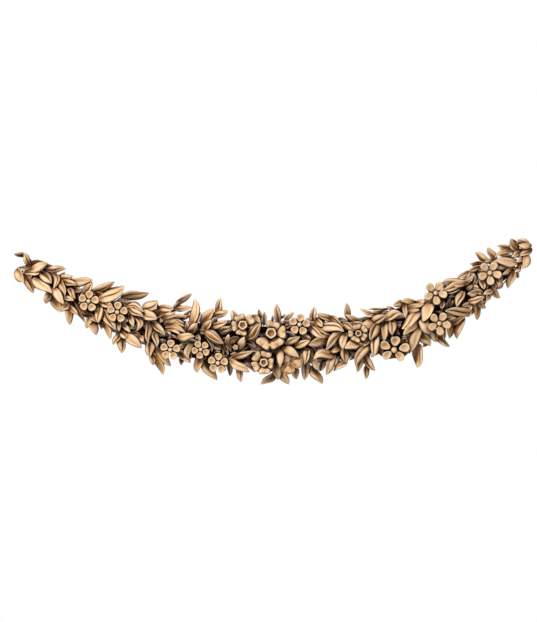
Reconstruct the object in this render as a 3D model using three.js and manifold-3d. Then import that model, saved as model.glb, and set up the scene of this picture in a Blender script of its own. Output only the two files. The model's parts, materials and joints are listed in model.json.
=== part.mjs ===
// A festoon swag ornament, carved from one piece of wood: a crescent of overlapping leaves with small
// five-petal flowers and cupped blossoms, on a low carved ground with a flat back.
// Millimetres, +Z up, +X to the right, the carved face towards -Y, the flat back on the plane Y = 0.
// The origin is on the back plane, behind the middle of the swag.
import * as THREE from "three";
import Module from "manifold-3d";

const wasm = await Module();
wasm.setup();

// Driving dimensions
const WIDTH = 914; // from the outermost leaf of one end to that of the other
const MIDDLE_DEPTH = 40; // from the back to the foremost blossom, at the middle of the swag
const END_DEPTH = 25; // the same at its two ends
const GROUND_EDGE = 6; // thickness of the carved ground along its edges
const ROOT_DEPTH = 3; // how far in front of the back plane a leaf or petal is rooted in the ground
const BACK_CLEARANCE = 1.5; // no leaf comes nearer to the back plane than this
const CUP_HOLLOW = 6; // depth of the hollow in the largest cupped blossoms

// The carver's cartoon: the layout is drawn on squares, this many across the whole swag
const CARTOON_SQUARES = 521;
const SQUARE = WIDTH / CARTOON_SQUARES;
const HALF_SPAN = CARTOON_SQUARES / 2;

// The hanging line of the garland and its half height, in squares
const LOWEST_Z = -5.5;
const END_RISE = 92;
const HANG_POWER = 2.2;
const RIGHT_END_HIGHER = 5;
const MIDDLE_HALF_HEIGHT = 34;
const END_HALF_HEIGHT = 15;

// The garland is round in section: this share of its depth is left far out at its edges
const EDGE_SHARE = 0.2;

// The carved ground behind the leaves
const GROUND_REACH = 0.945; // it ends this share of the half span from the middle
const GROUND_HEIGHT_SHARE = 0.58; // of the garland's half height
const GROUND_CREST_SHARE = 0.28; // of the garland's depth
const GROUND_STEPS = 22;
const ROOT_INSET = 2.5; // squares; leaves are rooted this far inside its edges

// Each layer of leaves lies at its share of the garland's depth
const LAYER_SHARE = { front: 0.9, middle: 0.72, under: 0.54 };
const BASE_SINK = 0.34; // a leaf's base lies lower than its middle by this share
const TIP_DROOP = 0.1; // and its tip by this one
const TIP_FALL = 0.1; // the pointed tip lies below the crest by this share of the leaf's width
const KEEL_SHARE = 1.3; // thickness of a leaf along its middle, as a share of its half width
const STALK_REACH = 0.3; // where along a leaf the stalk of one that starts beyond the ground joins it
const STALK_SHARE = 0.2; // half width of that stalk, as a share of the leaf's width
const STALK_TAPER_AT = 0.97; // the stalk widens up to this share of its length

// Stations along a leaf: place from base to tip, and half width as a share of half the leaf's width
const LEAF_STATIONS = [
  [0.28, 1.05],
  [0.68, 0.96],
];
// Points across a leaf: place from edge to edge, and fall below the crest as a share of the half width
const GROOVED_SECTION = [
  [-1, 0.62],
  [-0.45, 0],
  [0, 0.3],
  [0.45, 0],
  [1, 0.62],
];
const PLAIN_SECTION = [
  [-1, 0.5],
  [0, 0],
  [1, 0.5],
];

// Leaves, in squares: base x, base z, tip x, tip z, width, and how far the middle bends to the left
const FRONT_LEAVES = [
  // the left end
  [-240.5, 70.5, -225.5, 77, 8, 0], [-258.5, 70.5, -249, 58, 9, -1.5], [-239, 60.5, -220.5, 47.5, 8, 0],
  [-220, 50, -208.5, 36.5, 8, 0], [-201, 59, -180.5, 61, 8, 0], [-171, 41.5, -149.5, 55.5, 11, 0],
  [-174, 33, -174.5, 17, 8, 0], [-169, 28.5, -157, 10, 8.5, 0],
  // the left arm
  [-145, 34, -129, 28, 5, 3], [-144, 31.5, -129, 23, 6, 0], [-129.5, 31.5, -115.5, 38, 10, 1],
  [-130, 27, -115.5, 21, 9.5, 0], [-147, 4, -130.5, -8, 9, 0], [-81, 18.5, -79, 42, 8, -2.5],
  [-94.5, 3, -78, 3.5, 7.5, 0], [-82, -4.5, -84, -19, 6.5, -2.5], [-66.5, 7.5, -49, -3.5, 9, 0],
  // the middle
  [-41, -21.5, -23.5, -32.5, 8, 0], [-26.5, 3, -12, 16, 8, 0], [13.5, -3.5, 27, 3.5, 6, 0],
  [23, -6, 37, -0.5, 6.5, 0], [34.5, -9, 31, -24.5, 6.5, 0], [37, 13, 52.5, 3, 6.5, -2],
  [48.5, 13.5, 71, 8.5, 9, 2.5], [70, 16, 82.5, 9.5, 6, 0], [67, 7, 53, -10, 8, -1.5],
  [71.5, 6, 69.5, -9, 7.5, -1], [87, -1, 71, -8, 9, 0], [55, 2, 35.5, -5, 9.5, 0],
  [59.5, -15, 40, -19.5, 8.5, -4], [62, -17, 54.5, -35, 7.5, 0],
  // the right arm
  [95, -5, 83, -27, 8.5, -2.5], [103, 4, 100, -17.5, 8, 0], [105, 15.5, 96.5, 0, 9, 0],
  [99.5, 18, 112.5, 25, 8, 0], [113, 22, 129, 26, 8.5, 2], [119.5, 19, 119, 5, 7.5, 0],
  [145, 27, 128.5, 11, 9, 0], [145, 20, 130, 5, 8.5, 0], [146, 11.5, 138.5, -12, 9.5, -1.5],
  [157.5, 38, 149.5, 18.5, 10.5, 0], [149, 20.5, 156.5, 5.5, 10, 0],
  // the right end
  [187, 57, 170, 50, 8, 0], [189.5, 47.5, 183.5, 33, 7, -1], [198, 28, 171.5, 29, 9, 0],
  [197, 38, 211.5, 43, 6, 0], [220, 50, 210, 45.5, 5, 0], [209, 47, 194, 46.5, 7.5, 0],
  [243, 78, 221.5, 79, 8.5, 0], [258.5, 95, 245, 95.5, 6, 1.5], [255, 84.5, 250, 71.5, 7, 2],
];
const MIDDLE_LEAVES = [
  // the left end
  [-245.5, 76.5, -249, 87.5, 6, 0], [-225.5, 71.5, -207.5, 72, 6.5, 0], [-248, 68, -233.5, 66.5, 5.5, 0],
  [-247.5, 65, -239.5, 47, 8, 0], [-231.5, 67.5, -221.5, 56.5, 9, 0], [-221, 67.5, -219.5, 51.5, 6, 4],
  [-213.5, 60, -208, 44.5, 6, 0], [-223.5, 46.5, -227.5, 36.5, 7, 0], [-219, 45, -212.5, 28.5, 8.5, 0],
  [-205.5, 36.5, -211.5, 28.5, 7, 0], [-204.5, 32, -203.5, 15, 6.5, 0], [-204, 33, -195, 25, 5.5, 0],
  [-204, 51, -197.5, 41.5, 5.5, 0], [-210, 59, -196.5, 55, 6, 0], [-213, 60.5, -200.5, 64, 7, 0],
  [-190.5, 45.5, -180.5, 58.5, 8, 0], [-179.5, 49.5, -158.5, 59, 7, 0], [-173, 40, -160.5, 34, 9.5, 0],
  [-182.5, 25, -176, 18, 5.5, 0], [-182.5, 24, -186.5, 11.5, 5.5, 0], [-180.5, 21, -176, 5, 7, 0],
  [-170, 17, -162.5, 0.5, 6.5, 2],
  // the left arm
  [-143, 25.5, -139.5, 13, 5.5, 0], [-138, 24.5, -137, 8.5, 6, 5], [-149.5, 44.5, -124, 48.5, 8.5, 0],
  [-151.5, 8, -146, 0.5, 6, 0], [-154.5, 6, -160, -4.5, 5, 0], [-151.5, 2, -151.5, -13, 7, 0],
  [-114.5, 31, -99, 31.5, 7, 0], [-95.5, 37, -81.5, 46.5, 6, 0], [-97.5, 31.5, -83.5, 32, 5, 0],
  [-110, 23.5, -97.5, 28.5, 6, -1.5], [-109, 18.5, -88, 21.5, 5, 2.5], [-105, 13, -87.5, 8, 6, 1.5],
  [-83.5, 8, -75.5, 17, 7, 0], [-71, 18, -59, 31.5, 9, 0], [-69, 10.5, -62, 20.5, 7, 0],
  [-120, 18, -108, 4.5, 7, 0], [-124.5, 18, -124.5, -3.5, 6, 0], [-118, 8, -116, -7, 6, 0],
  [-122, -3, -122, -17, 8, 0], [-120, -14, -119.5, -25, 6, 0], [-118, -15, -110, -35, 6.5, 2],
  [-116, -9, -102, -26.5, 8, 0], [-93, -12, -83, -22, 7, 0], [-74, -17, -76.5, -33, 8, 0],
  [-68.5, -20, -55.5, -40, 8, 0],
  // the middle
  [-34, -28, -31.5, -42, 5, 0], [-41, -19, -19.5, -11, 6.5, 0], [-33, -7.5, -28, 3, 6.5, 0],
  [-60.5, 13.5, -45.5, 18, 6.5, 0], [-52, 7.5, -41.5, 13.5, 7, 0], [-54.5, 26, -51.5, 42.5, 6, 0],
  [-59, 25, -45.5, 29, 6, 0], [-38.5, 19, -41, 29.5, 5, 0], [-20.5, 24, -12.5, 16.5, 5, 1.5],
  [27, 5.5, 38.5, 1, 6, 0], [4, -25.5, 5, -40, 9, 0], [1, -33, -11.5, -44.5, 6, 0],
  [10, -32, 16, -45, 6, 0], [22, -28, 23.5, -39, 6, 0], [34.5, -23, 31.5, -40.5, 7, 0],
  [4.5, 19, 3, 36, 6, 0], [40, 20, 41.5, 33, 5, 0], [59, 19.5, 44.5, 27, 6, 0],
  [57, 22.5, 70.5, 13.5, 6, 0], [43, 21, 49.5, 13, 6, 0], [75.5, 22, 73.5, 37, 6, 0],
  [85, 20, 71.5, 26.5, 5, 0], [66.5, -7, 58, -12, 6, 0], [37, -17, 46, -31, 7, 0],
  [39.5, -28, 50.5, -44, 8, 0], [73, -22, 60.5, -31.5, 6.5, 0], [71.5, -9.5, 73, -23.5, 7.5, 0],
  // the right arm
  [88.5, -17, 85, -32.5, 5.5, 0], [92, -16, 103, -30.5, 7, 0], [94.5, -26, 93, -39.5, 5.5, 0],
  [82, -5.5, 90, -3, 5, 0], [101.5, 18, 89, 14, 10.5, 0], [131, 35, 120, 34.5, 6.5, -1.5],
  [143, 36.5, 128, 39.5, 6.5, -2], [111.5, 16, 108.5, 0.5, 5, 0], [114.5, 18, 112.5, -0.5, 5, 0],
  [142.5, 36, 153, 40, 5, 0], [134.5, 31.5, 151, 36, 5.5, 0], [148.5, 5.5, 158, -6, 9, 0],
  [160, 10, 164, -2.5, 8, 0], [171, 12, 171, -0.5, 5, 0], [164, 3, 177.5, -7, 6, 0],
  [169.5, 39, 168.5, 31, 5.5, 0], [146.5, -3, 146, -28, 9.5, 0],
  // the right end
  [191, 58, 168, 57.5, 8, -1.5], [186.5, 52.5, 174.5, 46.5, 5, 0], [199, 38, 188, 32.5, 5, 0],
  [178, 16.5, 194, 24, 6, 0], [205, 38, 213, 32.5, 6, 0], [205.5, 36, 204.5, 19.5, 6.5, 0],
  [189, 21, 183.5, 1, 7.5, -1.5], [178.5, 18, 177.5, 2, 6, 0], [217.5, 46.5, 214, 39, 5, 0],
  [219, 52, 228, 42.5, 6, 0], [199, 55.5, 206, 51, 5, 0], [197, 69, 184, 62, 5, 0],
  [208, 73, 195.5, 70, 5.5, 0], [209.5, 61, 211, 50.5, 6.5, 0], [221, 57, 222, 49.5, 5, 0],
  [229.5, 64.5, 227.5, 52, 5, 0], [240, 69, 234.5, 51.5, 7.5, 0], [223.5, 82, 215.5, 93, 7, 0],
  [216, 79, 203.5, 88.5, 7, 0], [244.5, 91, 238.5, 102, 8.5, 0], [257, 97, 244.5, 101, 5.5, -1.5],
  [260.5, 91.5, 247.5, 84.5, 6, 0],
];
const UNDER_LEAVES = [
  [-248, 81, -260.5, 86.5, 5, 0], [-245, 77, -219.5, 75, 5, 3], [-201, 38.5, -190, 18, 5, 0],
  [-194.5, 37, -181, 26, 5.5, -3], [-99.5, 29.5, -94, 39, 5, 0], [-43, -21, -43, -36, 5, 0],
  [52, -20, 46.5, -31.5, 6, 0], [95.5, -9.5, 95.5, -19, 5, 0],
];

// Five-petal flowers, in squares: centre x and z, distance of the petals from it, petal length and width,
// angle of the first petal in degrees, and button width
const FLOWERS = [
  [-184, 38.5, 6.6, 7.4, 7, 11, 4.5], [-155.5, 27.5, 6.7, 7.2, 6.6, 13, 4.5],
  [-102.5, -9.5, 6.3, 7.2, 7, 12, 4.5], [-72, -9.5, 5.7, 6.4, 6, 45, 4],
  [-55, -23, 6.4, 7.2, 6.8, 12, 4.5], [26.5, 15.5, 6.5, 7.4, 7, 11, 4.6],
  [121, -10, 8.8, 10, 8.6, 9, 6], [163, 47, 7.5, 8, 7.2, 62, 4.6],
  [166, 16.5, 7.5, 8, 7.2, 61, 4.6], [216.5, 67, 7.5, 8.2, 7.4, 60, 4.8],
];
// Cupped blossoms, in squares: centre x and z, number of petals, distance of the petals from the centre,
// petal length and width, angle of the first petal in degrees, and cup width
const BLOSSOMS = [
  [-2, 7, 5, 11, 10.5, 12, 8, 11], [-30, 15.5, 5, 8.2, 7.5, 9, 43, 9], [-9.5, -22.5, 5, 8.5, 7.5, 9, 65, 9],
  [15.5, -21.5, 4, 9, 9.5, 13, -8, 8], [85, 6.7, 5, 6.9, 5.8, 7, 36, 6.6], [-38.5, -3.5, 0, 0, 0, 0, 0, 11],
];
const FLOWER_PETALS = 5;
const PETAL_SIDES = 6;
const BUTTON_SIDES = 5;
const CUP_SIDES = 8;
const PETAL_DISH = 0.16; // depth of a petal's hollow, as a share of its width
const PETAL_SETBACK = 0.25; // the petals lie behind the button's top by this share of its width
const BUTTON_RISE = 0.3; // height of a button's dome, as a share of its width
const CUP_HOLLOW_SHARE = 0.45; // a small cup is hollowed to this share of its width
const CUP_PETAL_SETBACK = 0.3; // its petals lie behind the rim by this share of the hollow's depth
// Rings of a button: share of its width, and fall below the top as a share of its rise
const BUTTON_RINGS = [
  [1, 1],
  [0.7, 0.25],
];
// Rings of a cup, from outside over the rim to the floor: share of its width, and fall below the rim as a
// share of the hollow's depth
const CUP_RINGS = [
  [1, 0.2],
  [0.88, 0],
  [0.5, 1],
];

const { clamp, degToRad, lerp } = THREE.MathUtils;

// The garland's hanging line and half height at x, both in squares
const hangingLine = (x) =>
  LOWEST_Z + END_RISE * Math.abs(x / HALF_SPAN) ** HANG_POWER + RIGHT_END_HIGHER * (x / HALF_SPAN);
const halfHeight = (x) => lerp(MIDDLE_HALF_HEIGHT, END_HALF_HEIGHT, (x / HALF_SPAN) ** 2);

// How far the round garland stands in front of the back plane at a place on the cartoon
function garlandDepth(x, z) {
  const whole = lerp(MIDDLE_DEPTH, END_DEPTH, (x / HALF_SPAN) ** 2);
  const out = (z - hangingLine(x)) / halfHeight(x);
  return whole * (EDGE_SHARE + (1 - EDGE_SHARE) / (1 + out ** 4));
}

// A place on the cartoon and its depth in front of the back, as a point of the model
const point = (x, z, depth) => [x * SQUARE, -depth, z * SQUARE];

// The nearest place well inside the carved ground, where what grows at x, z is rooted
function rootOf(x, z) {
  const reach = HALF_SPAN * GROUND_REACH - ROOT_INSET;
  const rootX = clamp(x, -reach, reach);
  const out = halfHeight(rootX) * GROUND_HEIGHT_SHARE - ROOT_INSET;
  const line = hangingLine(rootX);
  return { x: rootX, z: clamp(z, line - out, line + out) };
}

// A closed solid from a first point, rings of equally many points, and a last point
function skin(first, rings, last) {
  const count = rings[0].length;
  const points = [first, ...rings.flat(), last];
  const end = points.length - 1;
  const at = (ring, place) => 1 + ring * count + (place % count);
  const triangles = [];
  for (let a = 0; a < count; a += 1) {
    triangles.push(0, at(0, a), at(0, a + 1));
    for (let ring = 0; ring + 1 < rings.length; ring += 1) {
      triangles.push(at(ring, a), at(ring + 1, a), at(ring + 1, a + 1));
      triangles.push(at(ring, a), at(ring + 1, a + 1), at(ring, a + 1));
    }
    triangles.push(at(rings.length - 1, a), end, at(rings.length - 1, a + 1));
  }
  return new wasm.Manifold(
    new wasm.Mesh({
      numProp: 3,
      vertProperties: new Float32Array(points.flat()),
      triVerts: new Uint32Array(triangles),
    }),
  );
}

// A thin stalk from the ground to a leaf that starts beyond it
function stalk(from, to, halfWidth) {
  const start = new THREE.Vector3(...from);
  const axis = new THREE.Vector3(...to).sub(start);
  const aside = new THREE.Vector3(axis.z, 0, -axis.x).setLength(halfWidth);
  const ahead = aside.clone().cross(axis).setLength(halfWidth);
  const nearEnd = start.clone().addScaledVector(axis, STALK_TAPER_AT);
  const corners = [aside, ahead, aside.clone().negate(), ahead.clone().negate()];
  return skin(from, [corners.map((offset) => nearEnd.clone().add(offset).toArray())], to);
}

// One leaf: a pointed blade with low edges over a keel, rooted in the ground
function leaf([baseX, baseZ, tipX, tipZ, width, bend], layerShare, section) {
  const length = Math.hypot(tipX - baseX, tipZ - baseZ);
  const leftX = -(tipZ - baseZ) / length;
  const leftZ = (tipX - baseX) / length;
  const spine = (t) => {
    const aside = 4 * bend * t * (1 - t);
    const x = lerp(baseX, tipX, t) + aside * leftX;
    const z = lerp(baseZ, tipZ, t) + aside * leftZ;
    const depth = garlandDepth(x, z) * layerShare * (1 - BASE_SINK * (1 - t) ** 2 - TIP_DROOP * t ** 4);
    return { x, z, depth };
  };
  const ring = ([t, widthShare]) => {
    const { x, z, depth } = spine(t);
    const half = (width / 2) * widthShare;
    const top = section.map(([across, fall]) =>
      point(x + across * half * leftX, z + across * half * leftZ, depth - fall * half * SQUARE),
    );
    return [...top, point(x, z, Math.max(depth - KEEL_SHARE * half * SQUARE, BACK_CLEARANCE))];
  };
  const root = rootOf(baseX, baseZ);
  const offGround = root.x !== baseX || root.z !== baseZ;
  const fall = TIP_FALL * width * SQUARE;
  const blade = skin(
    point(baseX, baseZ, offGround ? spine(0).depth - fall : ROOT_DEPTH),
    LEAF_STATIONS.map(ring),
    point(tipX, tipZ, spine(1).depth - fall),
  );
  if (!offGround) return blade;
  const held = spine(STALK_REACH);
  const heldPoint = point(held.x, held.z, held.depth - (KEEL_SHARE * width * SQUARE) / 4);
  return blade.add(stalk(point(root.x, root.z, ROOT_DEPTH), heldPoint, STALK_SHARE * width * SQUARE));
}

// An outline seen from the front, with given half sizes along and across an angle
function outline(x, z, along, across, angle, sides, depth) {
  return Array.from({ length: sides }, (_, i) => {
    const turn = (-2 * Math.PI * i) / sides;
    const a = along * Math.cos(turn);
    const b = across * Math.sin(turn);
    return point(
      x + a * Math.cos(angle) - b * Math.sin(angle),
      z + a * Math.sin(angle) + b * Math.cos(angle),
      depth,
    );
  });
}

const round = (x, z, width, sides, depth) => outline(x, z, width / 2, width / 2, 0, sides, depth);

// Petals around a centre: each a dished blade that narrows backwards to its root
function petals(centreX, centreZ, count, distance, length, width, firstAngle, depth) {
  return Array.from({ length: count }, (_, i) => {
    const angle = degToRad(firstAngle + (360 * i) / count);
    const x = centreX + distance * Math.cos(angle);
    const z = centreZ + distance * Math.sin(angle);
    const root = rootOf((centreX + x) / 2, (centreZ + z) / 2);
    return skin(
      point(root.x, root.z, ROOT_DEPTH),
      [outline(x, z, length / 2, width / 2, angle, PETAL_SIDES, depth)],
      point(x, z, depth - PETAL_DISH * width * SQUARE),
    );
  });
}

// A simple flower: five petals and a round button
function flower([x, z, distance, length, width, firstAngle, button]) {
  const depth = garlandDepth(x, z);
  const rise = BUTTON_RISE * button * SQUARE;
  const root = rootOf(x, z);
  const knob = skin(
    point(root.x, root.z, ROOT_DEPTH),
    BUTTON_RINGS.map(([share, fall]) => round(x, z, share * button, BUTTON_SIDES, depth - fall * rise)),
    point(x, z, depth),
  );
  const petalDepth = depth - PETAL_SETBACK * button * SQUARE;
  return [knob, ...petals(x, z, FLOWER_PETALS, distance, length, width, firstAngle, petalDepth)];
}

// A cupped blossom: petals lying back around a hollow cup with a thick rim
function blossom([x, z, count, distance, length, width, firstAngle, cup]) {
  const depth = garlandDepth(x, z);
  const hollow = Math.min(CUP_HOLLOW, CUP_HOLLOW_SHARE * cup * SQUARE);
  const cupBody = skin(
    point(x, z, ROOT_DEPTH),
    CUP_RINGS.map(([share, fall]) => round(x, z, share * cup, CUP_SIDES, depth - fall * hollow)),
    point(x, z, depth - hollow),
  );
  const petalDepth = depth - CUP_PETAL_SETBACK * hollow;
  return [cupBody, ...petals(x, z, count, distance, length, width, firstAngle, petalDepth)];
}

// The carved ground: a low rounded ribbon along the hanging line, flat at the back
function ground() {
  const ring = (step) => {
    const x = HALF_SPAN * GROUND_REACH * (-1 + (2 * step) / GROUND_STEPS);
    const z = hangingLine(x);
    const half = halfHeight(x) * GROUND_HEIGHT_SHARE;
    return [
      point(x, z - half, 0),
      point(x, z - half, GROUND_EDGE),
      point(x, z, garlandDepth(x, z) * GROUND_CREST_SHARE),
      point(x, z + half, GROUND_EDGE),
      point(x, z + half, 0),
    ];
  };
  const rings = Array.from({ length: GROUND_STEPS + 1 }, (_, step) => ring(step));
  const middleOf = (corners) =>
    [0, 1, 2].map((i) => corners.reduce((sum, corner) => sum + corner[i] / corners.length, 0));
  return skin(middleOf(rings[0]), rings, middleOf(rings[GROUND_STEPS]));
}

// Joins solids in pairs until one is left
function join(solids) {
  if (solids.length === 1) return solids[0];
  const half = Math.ceil(solids.length / 2);
  return join(solids.slice(0, half)).add(join(solids.slice(half)));
}

function geometryOf(solid) {
  const mesh = solid.getMesh();
  const geometry = new THREE.BufferGeometry();
  geometry.setAttribute("position", new THREE.BufferAttribute(new Float32Array(mesh.vertProperties), 3));
  geometry.setIndex(new THREE.BufferAttribute(new Uint32Array(mesh.triVerts), 1));
  return geometry;
}

const carvedWood = new THREE.MeshStandardMaterial({ color: 0xa68766, roughness: 0.55, metalness: 0 });

const carving = join([
  ground(),
  ...FRONT_LEAVES.map((row) => leaf(row, LAYER_SHARE.front, GROOVED_SECTION)),
  ...MIDDLE_LEAVES.map((row) => leaf(row, LAYER_SHARE.middle, PLAIN_SECTION)),
  ...UNDER_LEAVES.map((row) => leaf(row, LAYER_SHARE.under, PLAIN_SECTION)),
  ...FLOWERS.flatMap(flower),
  ...BLOSSOMS.flatMap(blossom),
]);

const festoonSwag = new THREE.Mesh(geometryOf(carving), carvedWood);
festoonSwag.name = "festoon_swag";

const festoon = new THREE.Group();
festoon.add(festoonSwag);
export default festoon;
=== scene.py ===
"""A festoon swag ornament carved from one piece of wood: overlapping leaves, small five-petal flowers and
cupped blossoms on a low ground with a flat back. Metres, +Z up, +X to the right, carved face towards -Y.
"""
import json
import math

import bpy
import numpy as np
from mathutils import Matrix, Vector

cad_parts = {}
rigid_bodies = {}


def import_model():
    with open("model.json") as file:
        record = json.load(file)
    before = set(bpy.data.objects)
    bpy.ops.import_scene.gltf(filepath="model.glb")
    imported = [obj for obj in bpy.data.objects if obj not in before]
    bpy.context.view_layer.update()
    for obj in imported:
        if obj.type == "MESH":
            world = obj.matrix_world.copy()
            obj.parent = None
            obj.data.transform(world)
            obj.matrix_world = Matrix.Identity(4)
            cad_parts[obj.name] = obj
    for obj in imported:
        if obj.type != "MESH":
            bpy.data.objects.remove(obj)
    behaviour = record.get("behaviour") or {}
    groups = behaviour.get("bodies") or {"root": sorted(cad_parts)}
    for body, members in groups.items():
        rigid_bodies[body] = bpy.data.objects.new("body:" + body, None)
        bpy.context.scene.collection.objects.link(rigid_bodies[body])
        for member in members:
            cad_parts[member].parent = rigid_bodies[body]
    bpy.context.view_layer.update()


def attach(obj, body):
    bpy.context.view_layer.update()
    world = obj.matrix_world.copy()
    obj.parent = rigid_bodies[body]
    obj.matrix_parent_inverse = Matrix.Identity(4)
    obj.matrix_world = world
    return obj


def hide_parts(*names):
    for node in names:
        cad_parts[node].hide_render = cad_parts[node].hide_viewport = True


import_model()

# driving dimensions, in metres
WIDTH = 0.914  # from the outermost leaf of one end to that of the other
MIDDLE_DEPTH = 0.040  # from the back to the foremost blossom, at the middle of the swag
END_DEPTH = 0.025  # the same at its two ends
GROUND_EDGE = 0.005  # thickness of the carved ground along its edges
ROOT_DEPTH = 0.003  # how far in front of the back plane a leaf or petal is rooted in the ground
BACK_CLEARANCE = 0.0015  # no leaf comes nearer to the back plane than this
CUP_HOLLOW = 0.006  # depth of the hollow in the largest cups

# the carver's cartoon is drawn on squares, this many across the whole swag
CARTOON_SQUARES = 521
SQUARE = WIDTH / CARTOON_SQUARES
HALF_SPAN = CARTOON_SQUARES / 2

# the hanging line and the half height of the garland, in squares
LOWEST_Z = -5.5
END_RISE = 92
HANG_POWER = 2.2
RIGHT_END_HIGHER = 5
MIDDLE_HALF_HEIGHT = 34
END_HALF_HEIGHT = 15
# the garland is round in section
EDGE_SHARE = 0.2  # share of its depth that is left far out at its edges
EDGE_POWER = 4  # the higher, the squarer its section

# the carved ground
GROUND_REACH = 0.93  # it ends this share of the half span from the middle
GROUND_HEIGHT_SHARE = 0.56  # of the garland's half height
GROUND_CREST_SHARE = 0.26  # of the garland's depth
GROUND_STEPS = 72
GROUND_COLUMNS = 10
ROOT_INSET = 2.5  # squares; leaves are rooted this far inside its edges

# leaves: each layer lies at its share of the garland's depth
LAYER_SHARE = {"front": 0.92, "middle": 0.75, "under": 0.59}
BASE_SINK = 0.34  # a leaf's base lies lower than its middle by this share
TIP_DROOP = 0.1  # and its tip by this one
BASE_REACH = 0.14  # the blade starts this share of its length behind its base
KEEL_SHARE = 1.25  # its keel lies this far behind its crest, as a share of its half width
BASE_FULLNESS = 0.52  # the lower, the fuller the blade towards its base
TIP_FULLNESS = 0.8  # and towards its tip
BREADTH = 1.18  # the blade's greatest width, as a share of the width given in the tables
# shares of the half width
ROLL = 0.42  # how far a leaf rolls to one side
HALF_HOLLOW = 0.2  # depth of the hollow in one half of it
EDGE_WAVE = 0.12  # height of the waves along its edges
VEIN_ASIDE = 0.3  # how far its middle vein wanders to either side
CREASE_REACH = 0.35  # half width of the crease along the vein
# other shares and powers
CREASE_LEAST = 0.4  # the shallowest crease, as a share of the deepest
VEIN_FADE = 0.7  # the crease is shallower by this share at the base and the tip
TIP_HOOK = 0.035  # how far a leaf curls to the side, as a share of its length
HOLLOW_POWER = 0.7
EDGE_WAVE_POWER = 3
EDGE_WAVES = 3  # half waves along an edge
# each leaf has a phase of its own, and these rates make its crease, hollow, hook and vein differ from others
CREASE_RATE = 3.1
HOLLOW_RATE = 5
HOOK_RATE = 2.3
VEIN_RATE = 1.7
VEIN_CURL = 2.4  # how much the vein turns from base to tip, in radians

# the stalk of a leaf that starts beyond the ground
STALK_REACH = 0.2  # where along the leaf it ends
STALK_SHARE = 0.13  # its half width, as a share of the leaf's width
STALK_BACK = 9  # squares; it is rooted this far behind the leaf's base
STALK_BEND = 0.6  # its bend lies this share of the way back
STALK_SINK = 0.5  # it meets the leaf this share of the way from crest to keel
STALK_SIDES = 8
# rings of a stalk: place along it, and thickness as a share of its half width
STALK_RINGS = ((0.02, 1.5), (0.25, 1.2), (0.5, 1.0), (0.75, 0.9), (0.98, 0.8))

# stations along a leaf, as shares of its length
STATIONS = (0.03, 0.09, 0.18, 0.3, 0.43, 0.56, 0.69, 0.8, 0.89, 0.955)
SMALL_STATIONS = (0.05, 0.18, 0.38, 0.6, 0.8, 0.93)
FILL_STATIONS = (0.08, 0.35, 0.65, 0.9)
# points across a leaf: place from edge to middle, and fall below the crest as shares of the half width
LOBES = ((1, 0.95), (0.97, 0.5), (0.87, 0.2), (0.68, 0.02), (0.4, 0.01), (0.13, 0.12), (0, 0.4))
SMALL_LOBES = ((1, 0.85), (0.94, 0.3), (0.6, 0.02), (0.2, 0.14), (0, 0.38))
PILLOW = ((1, 0.85), (0.94, 0.5), (0.8, 0.22), (0.6, 0.08), (0.35, 0.02), (0.15, 0.0), (0, 0.0))
FILL_LOBES = ((1, 0.6), (0.55, 0), (0, 0.25))
RIBS = (
    (1, 0.7), (0.93, 0.3), (0.78, 0.06), (0.64, 0.2), (0.48, 0.03), (0.3, 0.04), (0.16, 0.18), (0, 0.02),
)
UNDERSIDE = ((0.62, 0.95), (0, 1.0), (-0.62, 0.95))

# leaves in squares: base x and z, tip x and z, width, and for a bent one how far its middle lies to the left
FRONT_LEAVES = (
    # the left end
    (-240.5, 70.5, -225.5, 77, 8), (-256.8, 69.5, -249, 58, 9, -1.5), (-239, 60, -220.5, 47, 8.6),
    (-220, 50, -208.5, 36.5, 8), (-201, 58.2, -180.5, 60.2, 8, -0.8), (-171, 41, -148.8, 54.5, 11, -1.8),
    (-174, 33, -174.5, 17, 8), (-169, 28.5, -157, 10, 8.5),
    # the left arm
    (-145, 34, -129, 28, 5, 3), (-144, 31.5, -129, 23, 6), (-129, 31.5, -115, 39.5, 9.6, -1.2),
    (-130, 27, -115.5, 21, 9.5), (-147, 4.4, -130.8, -8.2, 8.8, 0.5), (-80.7, 18.5, -79, 42, 8.2, -2.4),
    (-94.5, 3, -78, 3.5, 7.5), (-82, -4.5, -84, -19, 6.5, -2.5),
    # the middle
    (-41, -21.5, -23.5, -32.5, 8), (13.5, -3.5, 27, 3.5, 6), (23, -6, 37, -0.5, 6.5),
    (34.5, -9, 31, -24.5, 6.5), (37, 13, 52.5, 3, 6.5, -2), (48.5, 13.5, 71, 8.5, 9, 2.5),
    (70, 16, 82.5, 9.5, 6), (67, 7, 53, -10, 8, -1.5), (71.5, 6, 69.5, -9, 7.5, -1), (87, -1, 71, -8, 9),
    (55, 2, 35.5, -5, 9.5), (59.5, -15, 40, -19.5, 8.5, -4), (60.6, -17, 53, -35, 7.8),
    # the right arm
    (95, -5, 83, -27, 8.5, -2.5), (103, 4, 100, -17.5, 8), (105, 15.5, 96.5, 0, 9),
    (99.5, 18, 112.5, 25, 8), (113, 22, 129, 26, 8.5, 2), (119.5, 19, 119, 5, 7.5), (145, 27, 128.5, 11, 9),
    (145, 20, 130, 5, 8.5), (146, 11.5, 138.5, -12, 9.5, -1.5), (157.5, 38, 149.5, 18.5, 10.5),
    (149, 20.5, 156.5, 5.5, 10), (145.8, -6.5, 145, -28.6, 9.2),
    # the right end
    (191, 57, 168, 56.6, 8, -1), (187, 56, 170, 49.4, 7.6), (189.5, 47.5, 183.5, 33, 7, -1),
    (198, 28, 171.5, 29, 9), (197, 38, 211.5, 43, 6), (220, 50, 210, 45.5, 5), (209, 47, 194, 46.5, 7.5),
    (243, 78, 221.5, 79, 8.5), (257.7, 94.2, 245.6, 95.4, 6, 1), (254.5, 84.5, 249.5, 71.2, 8, 1.6),
)
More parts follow.
